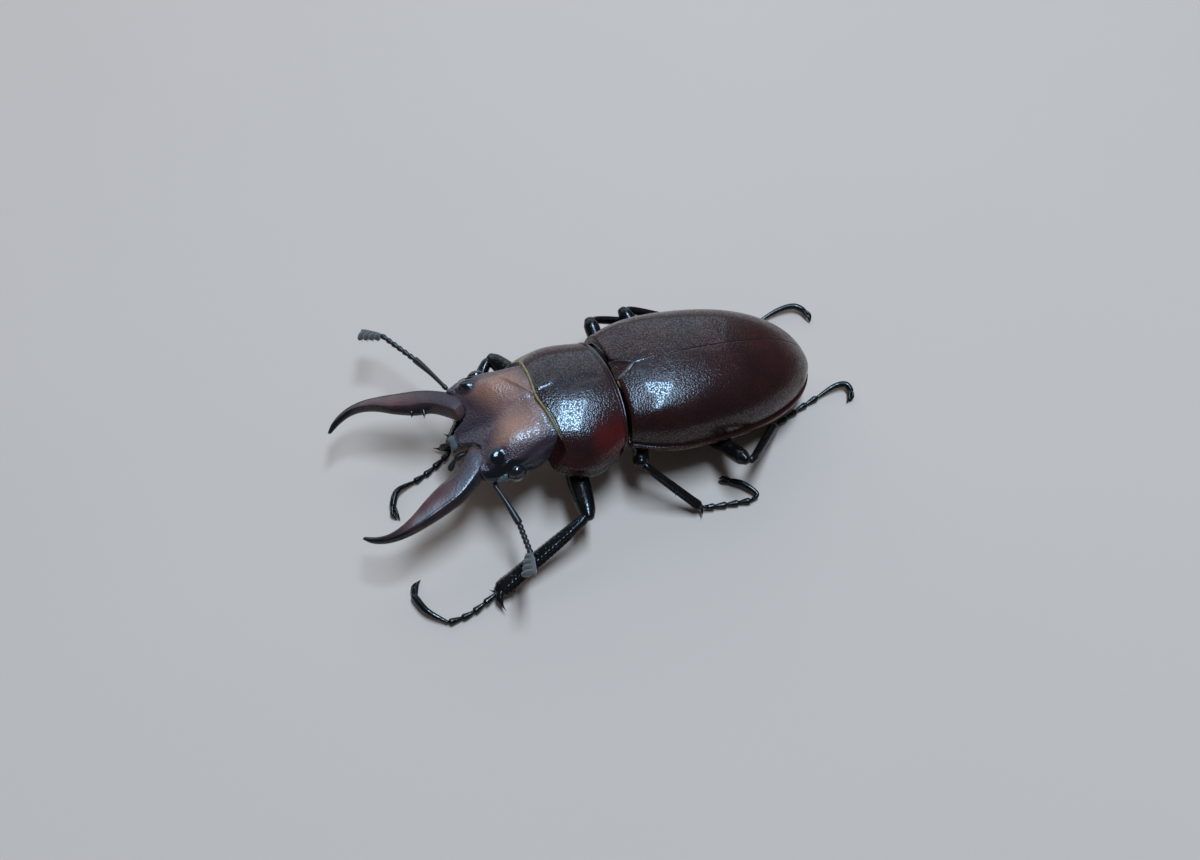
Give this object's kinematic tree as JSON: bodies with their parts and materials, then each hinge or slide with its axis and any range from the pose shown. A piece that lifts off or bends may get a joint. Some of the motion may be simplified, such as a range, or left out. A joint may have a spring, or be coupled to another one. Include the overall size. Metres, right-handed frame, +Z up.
{
  "type": "stag beetle",
  "caption": "Life-size still model of a male saw stag beetle standing on six legs, head raised, long curved jaws apart and feelers out.",
  "frame": {"origin": "on the floor, under the middle of the animal's bounding box", "axes": "+Z up; the head and jaws point along -Y, the tip of the wing cases along +Y, the animal's left side is +X"},
  "size_m": [0.0312, 0.0502, 0.0093],
  "materials": {
    "shell_brown": "gloss",
    "collar_brown": "gloss",
    "head_red": "satin",
    "jaw_brown": "satin",
    "leg_black": "gloss",
    "belly_black": "satin",
    "eye_black": "gloss",
    "feeler_black": "satin",
    "club_grey": "matte",
    "labrum_grey": "satin",
    "fringe_gold": "matte"
  },
  "bodies": {
    "root": {"abdomen": "belly_black", "antenna_left_club": "club_grey", "antenna_left_funicle": "feeler_black", "antenna_left_scape": "feeler_black", "antenna_right_club": "club_grey", "antenna_right_funicle": "feeler_black", "antenna_right_scape": "feeler_black", "elytron_left": "shell_brown", "elytron_right": "shell_brown", "eye_left": "eye_black", "eye_right": "eye_black", "head": "head_red", "labrum": "labrum_grey", "leg_left_fore_claws": "leg_black", "leg_left_fore_coxa": "leg_black", "leg_left_fore_femur": "leg_black", "leg_left_fore_tarsus": "leg_black", "leg_left_fore_tibia": "leg_black", "leg_left_hind_claws": "leg_black", "leg_left_hind_coxa": "leg_black", "leg_left_hind_femur": "leg_black", "leg_left_hind_tarsus": "leg_black", "leg_left_hind_tibia": "leg_black", "leg_left_mid_claws": "leg_black", "leg_left_mid_coxa": "leg_black", "leg_left_mid_femur": "leg_black", "leg_left_mid_tarsus": "leg_black", "leg_left_mid_tibia": "leg_black", "leg_right_fore_claws": "leg_black", "leg_right_fore_coxa": "leg_black", "leg_right_fore_femur": "leg_black", "leg_right_fore_tarsus": "leg_black", "leg_right_fore_tibia": "leg_black", "leg_right_hind_claws": "leg_black", "leg_right_hind_coxa": "leg_black", "leg_right_hind_femur": "leg_black", "leg_right_hind_tarsus": "leg_black", "leg_right_hind_tibia": "leg_black", "leg_right_mid_claws": "leg_black", "leg_right_mid_coxa": "leg_black", "leg_right_mid_femur": "leg_black", "leg_right_mid_tarsus": "leg_black", "leg_right_mid_tibia": "leg_black", "mandible_left": "jaw_brown", "mandible_right": "jaw_brown", "palp_left": "feeler_black", "palp_right": "feeler_black", "pronotum": "collar_brown", "scutellum": "shell_brown", "thorax": "belly_black"}
  },
  "joints": []
}
